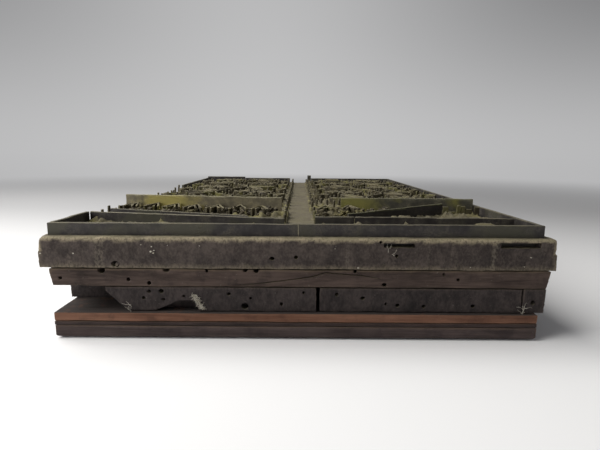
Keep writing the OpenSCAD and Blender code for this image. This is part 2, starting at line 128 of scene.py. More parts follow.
def ripple(points, size, stretch=(1, 1, 1), octaves=3, seed=0):
    """Smooth noise over points, about -1 to 1, with features of that size, drawn out by stretch."""
    scale = Vector([1 / (size * s) for s in stretch])
    shift = Vector([seed * s for s in SEED_SHIFTS])
    return np.array([noise.fractal(Vector(p) * scale + shift, 1.0, 2.0, octaves) for p in points])


def cut(piece, tool, how="DIFFERENCE"):
    """Cuts one closed mesh with another, and throws the tool away."""
    modifier = piece.modifiers.new("cut", "BOOLEAN")
    modifier.operation = how
    modifier.object = tool
    modifier.solver = "MANIFOLD"
    with bpy.context.temp_override(object=piece, active_object=piece, selected_objects=[piece]):
        bpy.ops.object.modifier_apply(modifier="cut")
    bpy.data.objects.remove(tool)


def wooden_board(node, axis, step, worn, hollow, seed, coarse=6 * MM, fit=True, lower_worn=None):
    """A packed board drawn again as worn timber: round arrises and a rippled skin, its fibre along an axis.

    worn is the radius of the arrises and hollow the depth of the skin's ripples; fit trims the board to the
    packed one, whose outline may be broken.
    """
    lo, hi = (np.array(corner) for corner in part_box(node))
    fine_ends, layer, fibre_runs = 7 * MM, 0.8 * MM, 14
    points, faces = board_skin(
        spaced(lo[X], hi[X], step, fine_ends, step),
        spaced(lo[Y], hi[Y], step, fine_ends, coarse),
        spaced(lo[Z], hi[Z], layer, fine_ends, layer),
    )
    middle, half = (lo + hi) / 2, (hi - lo) / 2
    side, reach = np.sign(points - middle), np.abs(points - middle)
    upper = points[:, Z] > middle[Z]
    arris = np.where(upper, worn, worn if lower_worn is None else lower_worn)
    radius = arris * (0.75 + 0.6 * ripple(points, 9 * MM, seed=seed))
    radius = np.clip(radius, 0.25 * arris, 0.95 * half.min())[:, None]
    inner = np.minimum(reach, half - radius)
    out = reach - inner
    out /= np.linalg.norm(out, axis=1, keepdims=True)
    stretch = [1, 1, 1]
    stretch[axis] = fibre_runs
    broad = ripple(points, 26 * MM, octaves=2, seed=seed + 1)
    fibre = ripple(points, 1.6 * MM, stretch, octaves=3, seed=seed + 2)
    sunk = hollow * np.clip(0.5 + 0.45 * broad + 0.3 * fibre, 0, 1.4)
    board = new_piece("worn_" + node, middle + side * (inner + out * (radius - sunk[:, None])), faces)
    if fit:
        cut(board, piece_from(board.name + "_limit", packed_mesh(node)), "INTERSECT")
    return board


def socket_group(name, inputs, outputs):
    """An empty shader node group with named sockets."""
    tree = bpy.data.node_groups.new(name, "ShaderNodeTree")
    kinds = {"f": "NodeSocketFloat", "c": "NodeSocketColor", "v": "NodeSocketVector"}
    for label, kind, default in inputs:
        made = tree.interface.new_socket(name=label, in_out="INPUT", socket_type=kinds[kind])
        made.default_value = default
    for label, kind in outputs:
        tree.interface.new_socket(name=label, in_out="OUTPUT", socket_type=kinds[kind])
    return tree, tree.nodes.new("NodeGroupInput"), tree.nodes.new("NodeGroupOutput")


def add(tree, kind, links=(), **settings):
    """Adds a node, sets its properties and fills its sockets, each with another node's output or a value."""
    made = tree.nodes.new(kind)
    for key, value in settings.items():
        setattr(made, key, value)
    for socket, source in dict(links).items():
        if isinstance(source, bpy.types.NodeSocket):
            tree.links.new(source, made.inputs[socket])
        else:
            made.inputs[socket].default_value = source
    return made


def maths(tree, how, a, b=0.0, c=0.0, clamp=False):
    """A sum on two or three values."""
    node = add(tree, "ShaderNodeMath", {0: a, 1: b, 2: c}, operation=how, use_clamp=clamp)
    return node.outputs[0]


def times(tree, a, b, clamp=False):
    """The product of two values."""
    return maths(tree, "MULTIPLY", a, b, clamp=clamp)


def spread(tree, value, low, high, to_low=0.0, to_high=1.0):
    """Eases a value from one range to another."""
    links = {"Value": value, "From Min": low, "From Max": high, "To Min": to_low, "To Max": to_high}
    return add(tree, "ShaderNodeMapRange", links, interpolation_type="SMOOTHSTEP").outputs[0]


def blended(tree, share, a, b):
    """Mixes two colours by a share."""
    node = add(tree, "ShaderNodeMix", {0: share, 6: a, 7: b}, data_type="RGBA")
    return node.outputs[2]


def cloud(tree, place, seed, scale, detail, **more):
    """Noise over places, which a seed shifts."""
    links = {"Vector": place, "W": seed, "Scale": scale, "Detail": detail, **more}
    return add(tree, "ShaderNodeTexNoise", links, noise_dimensions="4D").outputs[0]


def object_place(tree):
    """The place on the object, in metres."""
    return add(tree, "ShaderNodeTexCoord").outputs["Object"]


def marked(tree, name):
    """A value stored on the mesh's points."""
    return add(tree, "ShaderNodeAttribute", attribute_name=name).outputs["Fac"]


def bump_up(tree, shader, height, strength, distance):
    """Roughens a shader's surface by a height."""
    bump = add(tree, "ShaderNodeBump", {"Height": height, "Strength": strength, "Distance": distance})
    tree.links.new(bump.outputs[0], shader.inputs["Normal"])


def new_material(name):
    """A material, its node tree and its shader."""
    material = bpy.data.materials.new(name)
    material.use_nodes = True
    return material, material.node_tree, material.node_tree.nodes["Principled BSDF"]


def rgb(r, g, b):
    """An opaque colour."""
    return (r, g, b, 1)


def fibre_group():
    """Wood fibre drawn out along one axis: broad tone, fine lines and a height for bump."""
    tree, given, out = socket_group(
        "wood_fibre",
        [("Fibre", "v", (1, 1, 1)), ("Seed", "f", 0.0)],
        [("Tone", "f"), ("Lines", "f"), ("Height", "f")],
    )
    place = object_place(tree)
    along = add(tree, "ShaderNodeVectorMath", {0: place, 1: given.outputs["Fibre"]}, operation="MULTIPLY")
    seed = given.outputs["Seed"]
    broad = cloud(tree, place, seed, 38, 5)
    lines = cloud(tree, along.outputs[0], seed, 900, 6, Roughness=0.62, Distortion=0.35)
    bands = cloud(tree, along.outputs[0], seed, 210, 4)
    tone = maths(tree, "MULTIPLY_ADD", bands, 0.6, times(tree, broad, 0.4))
    tree.links.new(spread(tree, tone, 0.33, 0.67), out.inputs["Tone"])
    tree.links.new(spread(tree, lines, 0.38, 0.64), out.inputs["Lines"])
    height = maths(tree, "MULTIPLY_ADD", lines, 0.7, times(tree, bands, 0.5))
    tree.links.new(height, out.inputs["Height"])
    return tree


def dirt_group():
    """Dust that settles on upward faces, and stains and specks that lie anywhere."""
    tree, given, out = socket_group(
        "dust_and_stains",
        [("Dust", "f", 0.6), ("Seed", "f", 0.0)],
        [("Dust", "f"), ("Stain", "f"), ("Speck", "f")],
    )
    place = object_place(tree)
    normal = add(tree, "ShaderNodeNewGeometry").outputs["Normal"]
    facing = add(tree, "ShaderNodeSeparateXYZ", {0: normal}).outputs["Z"]
    seed = given.outputs["Seed"]
    broad = cloud(tree, place, seed, 85, 7, Roughness=0.65)
    fine = cloud(tree, place, seed, 950, 3)
    upward = spread(tree, facing, 0.15, 0.9)
    ragged = spread(tree, maths(tree, "MULTIPLY_ADD", fine, 0.3, broad), 0.42, 0.78, 0.35, 1.0)
    dust = times(tree, times(tree, upward, ragged), given.outputs["Dust"], clamp=True)
    tree.links.new(dust, out.inputs["Dust"])
    tree.links.new(spread(tree, broad, 0.48, 0.66), out.inputs["Stain"])
    tree.links.new(spread(tree, fine, 0.66, 0.74), out.inputs["Speck"])
    return tree


FIBRE = fibre_group()
DIRT = dirt_group()
DUST_COLOUR = rgb(0.178, 0.158, 0.095)
SPECK_COLOUR = rgb(0.42, 0.39, 0.33)


def wood_finish(name, axis, seed, dark, light, rubbed, dust, rough=0.82, across=0.05, streak=None,
                streaks=0.0, dust_and_shade_colour=DUST_COLOUR):
    """Old timber: two tones drawn out along an axis, pale rubbed arrises, pale runs, dust, stains and specks.

    across is how far the tones are squeezed along the axis, and streaks how strong the runs are.
    """
    material, tree, shader = new_material(name)
    fibre = [1.0, 1.0, 1.0]
    fibre[axis] = across
    grain = add(tree, "ShaderNodeGroup", {"Fibre": fibre, "Seed": seed}, node_tree=FIBRE)
    dirt = add(tree, "ShaderNodeGroup", {"Dust": dust, "Seed": seed + 3}, node_tree=DIRT)
    lines = grain.outputs["Lines"]
    tone = maths(tree, "MULTIPLY_ADD", lines, 0.4, times(tree, grain.outputs["Tone"], 0.75))
    colour = blended(tree, tone, dark, light)
    stain = times(tree, dirt.outputs["Stain"], 0.55)
    colour = blended(tree, stain, colour, rgb(dark[0] * 0.45, dark[1] * 0.45, dark[2] * 0.5))
    if streaks:
        runs = times(tree, marked(tree, "run"), times(tree, lines, streaks), clamp=True)
        colour = blended(tree, runs, colour, streak)
    edge = times(tree, marked(tree, "worn"), spread(tree, lines, -0.5, 0.7), clamp=True)
    colour = blended(tree, edge, colour, rubbed)
    # With a near-black dust colour, this upward mask paints shade, as on the orange ply's top under the core;
    # with the khaki colour it is dust
    colour = blended(tree, dirt.outputs["Dust"], colour, dust_and_shade_colour)
    colour = blended(tree, times(tree, dirt.outputs["Speck"], 0.16), colour, SPECK_COLOUR)
    tree.links.new(colour, shader.inputs["Base Color"])
    tree.links.new(spread(tree, tone, 0, 1, rough + 0.08, rough - 0.1), shader.inputs["Roughness"])
    shader.inputs["Specular IOR Level"].default_value = 0.3
    bump_up(tree, shader, grain.outputs["Height"], 0.5, 0.35 * MM)
    return material


def put_values(piece, name, values):
    """Stores a value on each point of a mesh."""
    made = piece.data.attributes.new(name, "FLOAT", "POINT")
    made.data.foreach_set("value", np.asarray(values, np.float32))


def hand_over(piece, material, nodes=(), sharp=None):
    """Gives a piece its material, smooths it below an angle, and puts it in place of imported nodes."""
    piece.data.materials.clear()
    piece.data.materials.append(material)
    if piece.type == "MESH":
        piece.data.polygons.foreach_set("use_smooth", [True] * len(piece.data.polygons))
    if sharp:
        piece.data.set_sharp_from_angle(angle=math.radians(sharp))
    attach(piece, "root")
    if nodes:
        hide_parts(*nodes)


def finish_board(board, node, material, reach, seed):
    """Marks the arrises of a board for wear and its sides for pale runs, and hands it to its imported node."""
    lower_share = 0.25
    points = points_of(board)
    lo, hi = points.min(0), points.max(0)
    away = np.sort(np.minimum(points - lo, hi - points), axis=1)
    ragged = ripple(points, 5 * MM, seed=seed + 5)
    wear = np.clip(1.15 - away[:, 1] / (reach * (1 + 0.55 * ragged)), 0, 1)
    put_values(board, "worn", wear * np.where(points[:, Z] > (lo[Z] + hi[Z]) / 2, 1.0, lower_share))
    down = ripple(points * [1, 0.6, 0.08], 4 * MM, octaves=3, seed=seed + 6)
    here = ripple(points * [1, 0.6, 0.3], 34 * MM, octaves=2, seed=seed + 7)
    put_values(board, "run", np.clip(down * 3.2 - 0.9, 0, 1) * np.clip(here * 2.5 + 0.45, 0, 1))
    hand_over(board, material, [node], sharp=38)


BROWN_PLY = wood_finish(
    "brown_ply", X, 1, dust=0.35,
    dark=rgb(0.038, 0.027, 0.025), light=rgb(0.086, 0.061, 0.056), rubbed=rgb(0.11, 0.075, 0.055),
)
DARK_PLY = wood_finish(
    "dark_ply", X, 2, dust=0.3,
    dark=rgb(0.018, 0.013, 0.012), light=rgb(0.045, 0.028, 0.025), rubbed=rgb(0.06, 0.036, 0.028),
)
# The orange board's upper face is painted near-black where the core has broken away: painted shade under the
# overhanging core, and dirt, laid on its upward faces through the dust mask
ORANGE_PLY = wood_finish(
    "orange_ply", X, 3, dust=1.6, dust_and_shade_colour=rgb(0.045, 0.036, 0.032),
    dark=rgb(0.095, 0.041, 0.024), light=rgb(0.205, 0.098, 0.058), rubbed=rgb(0.17, 0.088, 0.055),
)
for node, material, slot, worn in (
    ("base_bottom_board", BROWN_PLY, "base_brown", 0.4 * MM),
    ("base_dark_ply", DARK_PLY, "base_dark", 0.25 * MM),
    ("base_top_board", ORANGE_PLY, "base_orange", 0.5 * MM),
):
    seed = len(node)
    board = wooden_board(node, X, PLY_GRID, worn, PLY_HOLLOW, seed)
    finish_board(board, node, material, 1.0 * MM, seed)

# The core
# Four planks run front to back, so their dark, worm-eaten end grain shows at the front. They are glued
# between the base and the middle layer. The far left one has broken off short, and the two wide ones have
# shrunk apart.

FRONT, RIGHT, BACK, LEFT = 0, 1, 2, 3
CUTTER_OVERHANG = 2 * MM
HOLE_MARGIN = 3 * MM


def tube_faces(rings, sides, base=0):
    """The faces of a closed tube made of rings of points."""
    faces = []
    for k in range(rings - 1):
        row = base + k * sides
        for i in range(sides):
            j = (i + 1) % sides
            faces.append((row + i, row + j, row + sides + j, row + sides + i))
    faces.append(tuple(base + i for i in range(sides))[::-1])
    faces.append(tuple(base + (rings - 1) * sides + i for i in range(sides)))
    return faces


def cut_with(piece, points, faces):
    """Cuts a piece with a closed form made of points and faces."""
    tool = new_piece(piece.name + "_tool", points, faces)
    bm = bmesh.new()
    bm.from_mesh(tool.data)
    bmesh.ops.recalc_face_normals(bm, faces=bm.faces)
    bm.to_mesh(tool.data)
    bm.free()
    cut(piece, tool)


def tunnel(x, z, y, width, deep, lean, rings=5, sides=12):
    """A worm's tunnel from the front face inwards: oval, leaning, and narrower at its blind end."""
    mouth, taper, tilt = 1.12, 0.42, 0.3
    points = []
    for k in range(rings + 1):
        t = k / rings
        r = width / 2 * (mouth - taper * t)
        for i in range(sides):
            a = 2 * math.pi * i / sides
            points.append((
                x + r * math.cos(a) * (1 + 0.25 * lean[0]) + lean[0] * deep * t * tilt,
                y - CUTTER_OVERHANG + (deep + CUTTER_OVERHANG) * t,
                z + r * math.sin(a) * 0.92 + lean[1] * deep * t * tilt,
            ))
    return points, tube_faces(rings + 1, sides)


def turned_about(points, way):
    """Turns points made for the front face to face another side."""
    for _ in range(way):
        points = [(-p[1], p[0], p[2]) for p in points]
    return points


def drill(piece, holes, seed):
    """Drills worm holes, each (side, place along it, height, width), into the sides of a board."""
    draw = random.Random(seed)
    points, faces = [], []
    lo, hi = points_of(piece).min(0), points_of(piece).max(0)
    face_at = {FRONT: lo[Y], RIGHT: -hi[X], BACK: -hi[Y], LEFT: lo[X]}
    for way, place, height, width in holes:
        lean = (draw.uniform(-1, 1), draw.uniform(-1, 1))
        along = place if way in (FRONT, RIGHT) else -place
        made, quads = tunnel(along, height, face_at[way], width, draw.uniform(4, 9) * MM, lean)
        base = len(points)
        points += turned_about(made, way)
        faces += [tuple(base + i for i in quad) for quad in quads]
    cut_with(piece, points, faces)


def scattered(seed, count, way, lo, hi, z0, z1):
    """Worm holes strewn over one side of a board, none close to another."""
    apart, narrow, wide, tries = 4 * MM, 1.3, 2.4, 12
    draw = random.Random(seed)
    found = []
    for _ in range(count * tries):
        place, height = draw.uniform(lo, hi), draw.uniform(z0, z1)
        if len(found) < count and all(math.hypot(place - f[1], height - f[2]) > apart for f in found):
            found.append((way, place, height, draw.uniform(narrow, wide) * MM))
    return found


def seen_holes(holes, z0, unit):
    """Holes of the front face from a list of (mm right of centre, height in units above z0, width in mm)."""
    return [(FRONT, x * MM, z0 + up * unit, wide * MM) for x, up, wide in holes]


core_lo, core_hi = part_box("core_plank_right")
core_z0, core_z1 = core_lo.z, core_hi.z
core_tall = core_z1 - core_z0
CORE_WOOD = wood_finish(
    "end_grain_core", Z, 4, dust=0.35, rough=0.9, across=0.55,
    dark=rgb(0.017, 0.014, 0.014), light=rgb(0.05, 0.038, 0.035), rubbed=rgb(0.068, 0.052, 0.044),
)

# Worm holes seen at the front: mm right of centre, share of the plank's height and width in mm
CORE_LEFT_HOLES = [
    (-81.5, 0.52, 2.0), (-78.8, 0.83, 1.9), (-72.0, 0.80, 2.6), (-71.5, 0.5, 1.7), (-60.5, 0.62, 1.6),
    (-58.6, 0.36, 1.8), (-36.6, 0.73, 2.0), (-28.2, 0.26, 3.8), (-24.8, 0.58, 1.7), (-8.2, 0.3, 2.4),
    (3.4, 0.83, 1.6),
]
CORE_RIGHT_HOLES = [
    (20.8, 0.68, 2.2), (33.8, 0.55, 2.2), (47.2, 0.34, 2.0), (52.6, 0.3, 2.0), (66.8, 0.25, 2.1),
    (92.3, 0.3, 1.9),
]
CORE_FAR_RIGHT_HOLES = [(124.6, 0.42, 3.0)]
# Clusters of four holes in the outer sides: the side and its middle in mm behind the block's centre
LEFT_CLUSTERS = [(LEFT, -90), (LEFT, 0), (LEFT, 100)]
RIGHT_CLUSTERS = [(RIGHT, -120), (RIGHT, 20), (RIGHT, 110)]
CLUSTER_HALF = 50
for node, holes, clusters in (
    ("core_plank_far_left", [], LEFT_CLUSTERS),
    ("core_plank_left", CORE_LEFT_HOLES, []),
    ("core_plank_right", CORE_RIGHT_HOLES, []),
    ("core_plank_far_right", CORE_FAR_RIGHT_HOLES, RIGHT_CLUSTERS),
):
    seed = 20 + len(node)
    plank = wooden_board(node, Y, 1.0 * MM, worn=0.55 * MM, hollow=0.7 * MM, seed=seed)
    lo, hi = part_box(node)
    z0, z1 = core_z0 + HOLE_MARGIN, core_z1 - HOLE_MARGIN
    drilled = seen_holes(holes, core_z0, core_tall)
    back_count = max(2, round((hi.x - lo.x) / (9 * MM)))
    drilled += scattered(seed, back_count, BACK, lo.x + HOLE_MARGIN, hi.x - HOLE_MARGIN, z0, z1)
    for way, along in clusters:
        ends = (along - CLUSTER_HALF) * MM, (along + CLUSTER_HALF) * MM
        drilled += scattered(seed + along, 4, way, *ends, z0, z1)
    drill(plank, drilled, seed)
    finish_board(plank, node, CORE_WOOD, 1.3 * MM, seed)

# The middle layer
# Three boards of brown softwood lie across the block, glued between the core and the face board, with their
# long grain along the front. The front one has a crack, and worm holes near its glue lines.

MIDDLE_WOOD = wood_finish(
    "long_grain_middle", X, 5, dust=0.35, rough=0.88, across=0.09,
    dark=rgb(0.026, 0.018, 0.015), light=rgb(0.084, 0.057, 0.046), rubbed=rgb(0.11, 0.078, 0.052),
)


def fracture(piece, path, y):
    """Cuts a crack into the front of a board: a thin ribbon along (x, z) points, closed at both ends."""
    open_by, shut_by, deep = 0.55 * MM, 0.16 * MM, 3 * MM
    y0, y1 = y - CUTTER_OVERHANG, y + deep
    points = []
    for k, (x, z) in enumerate(path):
        half = (open_by if 0 < k < len(path) - 1 else shut_by) / 2
        points += [(x, y0, z - half), (x, y0, z + half), (x, y1, z + half), (x, y1, z - half)]
    cut_with(piece, points, tube_faces(len(path), 4))


middle_lo, middle_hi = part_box("middle_board_front")
middle_tall = middle_hi.z - middle_lo.z
MIDDLE_FRONT_HOLES = [
    (-124.4, 0.5, 2.2), (-88.4, 0.42, 2.4), (-77.8, 0.22, 2.4), (45.0, 0.2, 2.2), (77.0, 0.78, 2.0),
    (84.2, 0.5, 2.0), (-103.0, 0.93, 3.6), (-69.0, 0.93, 3.4), (-47.3, 0.93, 2.0), (-28.0, 0.93, 2.2),
    (-21.8, 0.93, 3.0), (30.0, 0.93, 2.0),
]
# The crack that the front shows: mm right of centre and share of the board's height
MIDDLE_CRACK = [
    (-30, 0.12), (-16.7, 0.26), (-4, 0.44), (6.8, 0.6), (14.6, 0.84), (24, 0.76), (33, 0.7), (44, 0.52),
]
MIDDLE_MARGIN = 2.4 * MM
SIDE_MARGIN = 5 * MM
BACK_HALF = 125 * MM
for i, node in enumerate(("middle_board_front", "middle_board_centre", "middle_board_back")):
    board = wooden_board(node, X, 1.0 * MM, worn=0.5 * MM, hollow=0.6 * MM, seed=40 + i)
    lo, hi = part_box(node)
    z0, z1 = middle_lo.z + MIDDLE_MARGIN, middle_hi.z - MIDDLE_MARGIN
    drilled = scattered(44 + i, 7, RIGHT, lo.y + SIDE_MARGIN, hi.y - SIDE_MARGIN, z0, z1)
    drilled += scattered(54 + i, 7, LEFT, lo.y + SIDE_MARGIN, hi.y - SIDE_MARGIN, z0, z1)
    if node == "middle_board_front":
        drilled += seen_holes(MIDDLE_FRONT_HOLES, middle_lo.z, middle_tall)
        crack = [(x * MM, middle_lo.z + share * middle_tall) for x, share in MIDDLE_CRACK]
        fracture(board, crack, middle_lo.y)
    if node == "middle_board_back":
        drilled += scattered(64, 16, BACK, -BACK_HALF, BACK_HALF, z0, z1)
    drill(board, drilled, 48 + i)
    finish_board(board, node, MIDDLE_WOOD, 1.2 * MM, 50 + i)

# The face board
# The board that carries the pattern: dark wood with its end grain to the front, glued on the middle layer.
# Its upper arris is rubbed pale, two slots are cut into the front edge, and an empty groove runs at the left.

FACE_WOOD = wood_finish(
    "streaked_face_board", Z, 6, dust=0.8, rough=0.86, across=0.75,
    dark=rgb(0.028, 0.022, 0.02), light=rgb(0.084, 0.065, 0.055), rubbed=rgb(0.43, 0.36, 0.235),
    streak=rgb(0.15, 0.127, 0.096), streaks=0.7,
)
face_lo, face_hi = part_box("face_board")
top_z = face_hi.z
face_board = wooden_board(
    "face_board", Y, 1.0 * MM, worn=3.0 * MM, hollow=0.45 * MM, seed=60, coarse=4 * MM, fit=False,
    lower_worn=0.7 * MM,
)


def brick(x0, x1, y0, y1, z0, z1, ragged=0.0, seed=0):
    """A cutter for a slot or groove, with ragged sides where asked."""
    points, faces = board_skin(np.linspace(x0, x1, 14), np.linspace(y0, y1, 4), np.linspace(z0, z1, 4))
    if ragged:
        points = points + ragged * np.stack([ripple(points, 3 * MM, seed=seed + k) for k in range(3)], 1)
    return new_piece("cutter", points, faces)


# The two slots in mm: place right of centre, width, depth below the top and height
EDGE_SLOTS = [(44.3, 16.2, 2.6, 2.3), (104.7, 21.1, 2.0, 2.8)]
SLOT_DEPTH = 9 * MM
for x, wide, below, tall in EDGE_SLOTS:
    cut(face_board, brick(
        x * MM, (x + wide) * MM, face_lo.y - CUTTER_OVERHANG, face_lo.y + SLOT_DEPTH,
        top_z - (below + tall) * MM, top_z - below * MM, 0.35 * MM, x,
    ))

# The groove of the lost rule, between the two lengths that are left
rule_lo, rule_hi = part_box("left_rule_front")
rest_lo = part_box("left_rule_back")[0]
cut(face_board, brick(
    rule_lo.x, rule_hi.x, rule_hi.y - MM, rest_lo.y + MM, rule_lo.z, top_z + CUTTER_OVERHANG,
))

# Worm holes seen at the front in mm: right of centre, above the board's top and width
FACE_FRONT_HOLES = [
    (-95.6, -14.5, 3.6), (-93.6, -14.7, 2.6), (-14.1, -10.9, 2.3), (-1.1, -10.8, 2.3), (51.4, -9.3, 2.2),
    (42.6, -1.6, 1.6),
]
SIDE_HALF = 185 * MM
z0, z1 = face_lo.z + HOLE_MARGIN, top_z - 5 * MM
drilled = seen_holes(FACE_FRONT_HOLES, top_z, MM)
drilled += scattered(71, 12, BACK, -BACK_HALF, BACK_HALF, z0, z1)
drilled += scattered(72, 14, RIGHT, -SIDE_HALF, SIDE_HALF, z0, z1)
drilled += scattered(73, 14, LEFT, -SIDE_HALF, SIDE_HALF, z0, z1)
drill(face_board, drilled, 74)
finish_board(face_board, "face_board", FACE_WOOD, 2.6 * MM, 75)

# The straight rules
# Type-high strips of brass or iron on edge, butted end to end round the block and let into one groove.
# They are dark with old ink and paste, and their top edges are rubbed brighter by the printing.

RULE_RISE = 6.4 * MM


def patina_group():
    """Old metal that has been inked and wiped: a mottled tone, green bloom, crusted patches and a height."""
    tree, given, out = socket_group(
        "patina", [("Seed", "f", 0.0)], [("Tone", "f"), ("Bloom", "f"), ("Crust", "f"), ("Height", "f")]
    )
    place = object_place(tree)
    seed = given.outputs["Seed"]
    broad = cloud(tree, place, seed, 120, 8, Roughness=0.7)
    patch = cloud(tree, place, maths(tree, "ADD", seed, 9.0), 42, 5)
    fine = cloud(tree, place, seed, 1400, 4)
    tree.links.new(spread(tree, broad, 0.34, 0.66), out.inputs["Tone"])
    tree.links.new(spread(tree, patch, 0.5, 0.64), out.inputs["Bloom"])
    crust = times(tree, spread(tree, broad, 0.5, 0.62), spread(tree, fine, 0.35, 0.6))
    tree.links.new(crust, out.inputs["Crust"])
    height = maths(tree, "MULTIPLY_ADD", crust, 0.8, times(tree, fine, 0.35))
    tree.links.new(height, out.inputs["Height"])
    return tree


PATINA = patina_group()


def metal_finish(name, seed, dark, light, edge, bloom, crust, metallic, rough, dust, patch=None):
    """Patinated metal or dried paste: mottled sides, rubbed top edges, bloom, crust and dust.

    patch is the centre and reach of one large patch of bloom.
    """
    material, tree, shader = new_material(name)
    skin = add(tree, "ShaderNodeGroup", {"Seed": seed}, node_tree=PATINA)
    dirt = add(tree, "ShaderNodeGroup", {"Dust": dust, "Seed": seed + 1.5}, node_tree=DIRT)
    tone, caked = skin.outputs["Tone"], skin.outputs["Crust"]
    colour = blended(tree, tone, dark, light)
    colour = blended(tree, times(tree, caked, 0.7), colour, crust)
    green = times(tree, skin.outputs["Bloom"], 0.75)
    if patch:
        centre, reach = patch
        away = add(tree, "ShaderNodeVectorMath", {0: object_place(tree), 1: centre}, operation="DISTANCE")
        ragged = maths(tree, "MULTIPLY_ADD", tone, -0.5 * reach, away.outputs["Value"])
        stain = spread(tree, ragged, 1.2 * reach, -0.1 * reach, 0, 0.85)
        green = maths(tree, "MAXIMUM", green, stain)
    colour = blended(tree, green, colour, bloom)
    rubbed = times(tree, marked(tree, "worn"), spread(tree, tone, -0.3, 0.8), clamp=True)
    colour = blended(tree, rubbed, colour, edge)
    colour = blended(tree, dirt.outputs["Dust"], colour, DUST_COLOUR)
    tree.links.new(colour, shader.inputs["Base Color"])
    if metallic:
        clean = maths(tree, "SUBTRACT", metallic, times(tree, caked, metallic), clamp=True)
        bright = maths(tree, "MULTIPLY_ADD", rubbed, 0.3, clean, clamp=True)
        tree.links.new(bright, shader.inputs["Metallic"])
    tree.links.new(spread(tree, caked, 0, 1, rough, 0.88), shader.inputs["Roughness"])
    bump_up(tree, shader, skin.outputs["Height"], 0.6, 0.25 * MM)
    return material


RULE_METAL = metal_finish(
    "dark_rule", 11, metallic=0.25, rough=0.6, dust=0.35,
    dark=rgb(0.018, 0.0155, 0.015), light=rgb(0.048, 0.041, 0.038), edge=rgb(0.17, 0.15, 0.10),
    bloom=rgb(0.062, 0.058, 0.038), crust=rgb(0.085, 0.076, 0.056),
)
strip_feet = []


def sliced(bm, pitch):
    """Cuts strips into short lengths and low bands, so that they can bend."""
    band, foot_below, crown = 1.5 * MM, 0.1 * MM, 0.5 * MM
    lo = Vector([min(v.co[k] for v in bm.verts) for k in range(3)])
    hi = Vector([max(v.co[k] for v in bm.verts) for k in range(3)])
    cuts = [((0, 0, z), (0, 0, 1)) for z in np.arange(top_z - foot_below, hi.z - crown, band)]
    for axis in (X, Y):
        for place in np.arange(lo[axis] + pitch / 2, hi[axis], pitch):
            at, way = [0, 0, 0], [0, 0, 0]
            at[axis], way[axis] = place, 1
            cuts.append((at, way))
    for at, way in cuts:
        geometry = list(bm.verts) + list(bm.edges) + list(bm.faces)
        bmesh.ops.bisect_plane(bm, geom=geometry, dist=SAME_POINT, plane_co=at, plane_no=way)
    bmesh.ops.triangulate(bm, faces=[f for f in bm.faces if len(f.verts) > 4])


def worn_metal(node, material, bend, nick, seed, pitch=4 * MM):
    """Packed strips drawn again as old metal: soft top arrises, small bends above the wood, nicked tops."""
    arris, foot_band, crown_from = 0.22 * MM, 0.2 * MM, 3 * MM
    bm = packed_mesh(node)
    bmesh.ops.dissolve_limit(bm, angle_limit=0.01, verts=bm.verts, edges=bm.edges)
    top_edges = [e for e in bm.edges if any(f.normal.z > 0.9 for f in e.link_faces)]
    bmesh.ops.bevel(
        bm, geom=top_edges, offset=arris, offset_type="OFFSET", segments=1, profile=0.5, affect="EDGES",
    )
    sliced(bm, pitch)
    strip_feet.extend(v.co.copy() for v in bm.verts if top_z - foot_band < v.co.z < top_z)
    shift = Vector((seed * 1.7, seed * 2.3, seed * 0.9))
    layer = bm.verts.layers.float.new("worn")
    for v in bm.verts:
        rise = max(0.0, v.co.z - top_z) / RULE_RISE
        crown = v.co.z > top_z + crown_from and any(f.normal.z > 0.5 for f in v.link_faces)
        v[layer] = (0.55 + 0.45 * noise.noise(v.co * 160 + shift)) if crown else 0.0
        lean = noise.noise_vector(Vector((v.co.x, v.co.y, 0)) * 45 + shift) * 0.7
        lean += noise.noise_vector(v.co * 170 + shift) * 0.3
        drop = max(0.0, noise.fractal(v.co * 110 + shift, 1, 2, 3)) * nick if crown else 0.0
        v.co += Vector((lean.x, lean.y, 0)) * bend * min(1.2, rise) - Vector((0, 0, drop))
    hand_over(piece_from("old_" + node, bm), material, [node], sharp=30)


FRAME_RULES = [
    "front_rule_left", "front_rule_right", "left_rule_front", "left_rule_back", "right_rule_front",
    "right_rule_back", "back_rule_left_end", "back_rule_left", "back_rule_right", "raised_corner_post",
]
INNER_RULES = ["left_second_rule", "left_third_rule", "right_second_rule", "right_second_rule_stub"]
for i, node in enumerate(FRAME_RULES):
    worn_metal(node, RULE_METAL, bend=0.45 * MM, nick=0.35 * MM, seed=80 + i, pitch=6 * MM)
for i, node in enumerate(INNER_RULES):
    worn_metal(node, RULE_METAL, bend=0.6 * MM, nick=0.5 * MM, seed=95 + i)

# The crossbars and the loose strip
# Deep rules across each panel that have been drawn up out of their grooves, and a strip pulled out slantwise.
# They are brass under a yellow-green bloom and a skin of dried paste.

